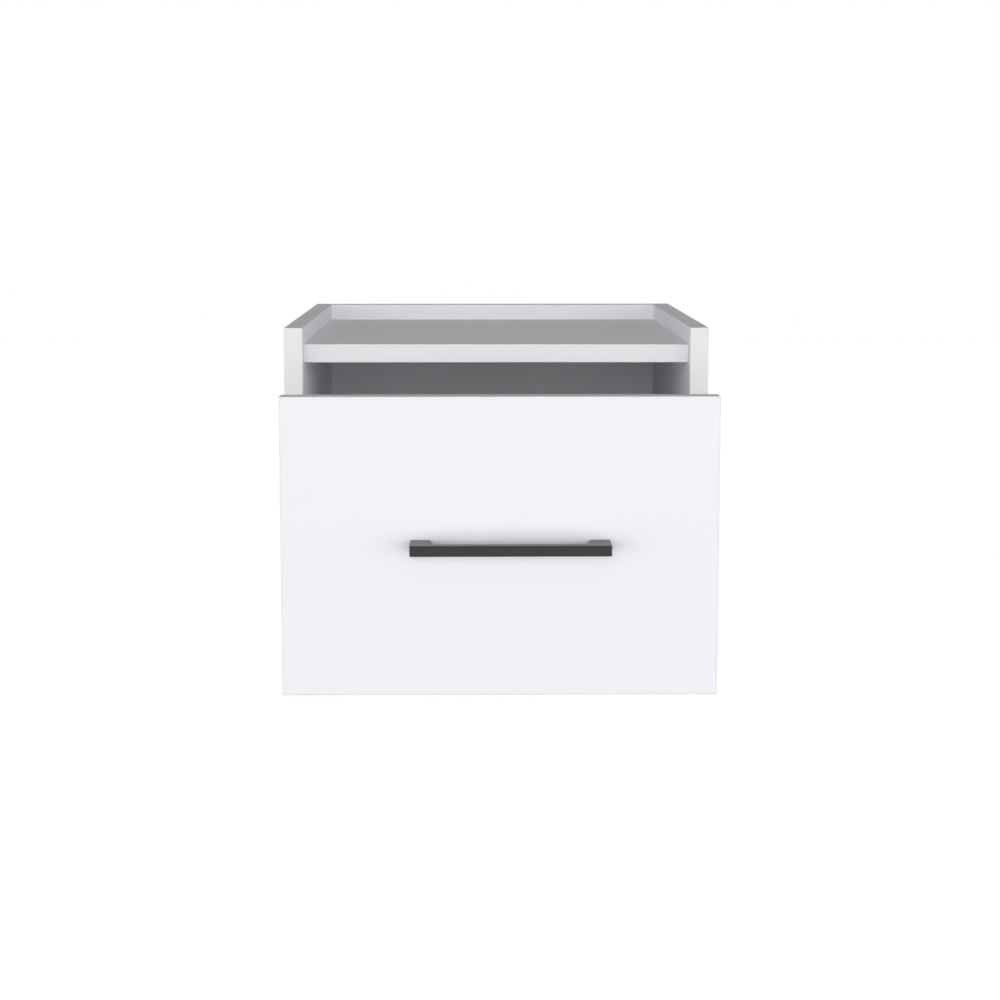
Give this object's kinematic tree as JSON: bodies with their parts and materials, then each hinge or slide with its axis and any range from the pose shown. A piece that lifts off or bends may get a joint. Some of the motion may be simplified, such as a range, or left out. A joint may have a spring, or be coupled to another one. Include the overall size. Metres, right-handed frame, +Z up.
{
  "type": "floating nightstand",
  "caption": "Wall-hung nightstand with a tray top between raised sides and a deep drawer on roller runners, shown pulled out, with a dark bar handle.",
  "frame": {"origin": "on the wall, at the centre of the back panel's rear face", "axes": "+X to the right seen from the front, +Y into the wall, +Z up; the drawer pulls out along -Y"},
  "size_m": [0.36, 0.605, 0.26],
  "materials": {
    "white_melamine": "white melamine on particle board, fine satin",
    "white_hardboard": "white-faced hardboard",
    "dark_metal": "dark grey satin powder coat",
    "zinc_steel": "bright zinc plate",
    "coated_steel": "off-white epoxy coat",
    "white_plastic": "white nylon"
  },
  "bodies": {
    "cabinet": {"left_side_panel": "white_melamine", "right_side_panel": "white_melamine", "top_panel": "white_melamine", "bottom_panel": "white_melamine", "back_panel": "white_melamine", "panel_screw_left_top_front": "zinc_steel", "panel_screw_left_top_rear": "zinc_steel", "panel_screw_left_bottom_front": "zinc_steel", "panel_screw_left_bottom_rear": "zinc_steel", "panel_screw_left_back_upper": "zinc_steel", "panel_screw_left_back_lower": "zinc_steel", "panel_screw_right_top_front": "zinc_steel", "panel_screw_right_top_rear": "zinc_steel", "panel_screw_right_bottom_front": "zinc_steel", "panel_screw_right_bottom_rear": "zinc_steel", "panel_screw_right_back_upper": "zinc_steel", "panel_screw_right_back_lower": "zinc_steel", "fixed_runner_left": "coated_steel", "fixed_runner_right": "coated_steel", "fixed_runner_screw_left_front": "zinc_steel", "fixed_runner_screw_left_rear": "zinc_steel", "fixed_runner_screw_right_front": "zinc_steel", "fixed_runner_screw_right_rear": "zinc_steel", "front_axle_left": "zinc_steel", "front_axle_right": "zinc_steel"},
    "drawer": {"drawer_front": "white_melamine", "drawer_side_left": "white_melamine", "drawer_side_right": "white_melamine", "drawer_back": "white_melamine", "drawer_bottom": "white_hardboard", "handle": "dark_metal", "handle_screw_left": "zinc_steel", "handle_screw_right": "zinc_steel", "cam_lock_left_upper": "zinc_steel", "cam_lock_left_lower": "zinc_steel", "cam_lock_right_upper": "zinc_steel", "cam_lock_right_lower": "zinc_steel", "cam_bolt_left_upper": "zinc_steel", "cam_bolt_left_lower": "zinc_steel", "cam_bolt_right_upper": "zinc_steel", "cam_bolt_right_lower": "zinc_steel", "drawer_back_screw_left_upper": "zinc_steel", "drawer_back_screw_left_lower": "zinc_steel", "drawer_back_screw_right_upper": "zinc_steel", "drawer_back_screw_right_lower": "zinc_steel", "drawer_runner_left": "coated_steel", "drawer_runner_right": "coated_steel", "drawer_runner_screw_left_front": "zinc_steel", "drawer_runner_screw_left_rear": "zinc_steel", "drawer_runner_screw_right_front": "zinc_steel", "drawer_runner_screw_right_rear": "zinc_steel", "rear_axle_left": "zinc_steel", "rear_axle_right": "zinc_steel"},
    "front_wheel_left": {"front_roller_left": "white_plastic"},
    "front_wheel_right": {"front_roller_right": "white_plastic"},
    "rear_wheel_left": {"rear_roller_left": "white_plastic"},
    "rear_wheel_right": {"rear_roller_right": "white_plastic"}
  },
  "joints": [
    {"name": "drawer_slide", "type": "slide", "parent": "cabinet", "child": "drawer", "axis": [0, -1, 0], "range_m": [-0.23, 0]},
    {"name": "front_roller_spin_left", "type": "hinge", "parent": "cabinet", "child": "front_wheel_left", "pos_m": [-0.15845, -0.317, -0.0925], "axis": [1, 0, 0], "range_deg": [-1475, 10]},
    {"name": "front_roller_spin_right", "type": "hinge", "parent": "cabinet", "child": "front_wheel_right", "pos_m": [0.15845, -0.317, -0.0925], "axis": [1, 0, 0], "range_deg": [-1475, 10]},
    {"name": "rear_roller_spin_left", "type": "hinge", "parent": "drawer", "child": "rear_wheel_left", "pos_m": [-0.15705, -0.278, -0.0954], "axis": [1, 0, 0], "range_deg": [-1475, 10]},
    {"name": "rear_roller_spin_right", "type": "hinge", "parent": "drawer", "child": "rear_wheel_right", "pos_m": [0.15705, -0.278, -0.0954], "axis": [1, 0, 0], "range_deg": [-1475, 10]}
  ],
  "couplings": [
    {"joint": "front_roller_spin_left", "follows": "drawer_slide", "rad_per_m": 111.11},
    {"joint": "front_roller_spin_right", "follows": "drawer_slide", "rad_per_m": 111.11},
    {"joint": "rear_roller_spin_left", "follows": "drawer_slide", "rad_per_m": 111.11},
    {"joint": "rear_roller_spin_right", "follows": "drawer_slide", "rad_per_m": 111.11}
  ]
}
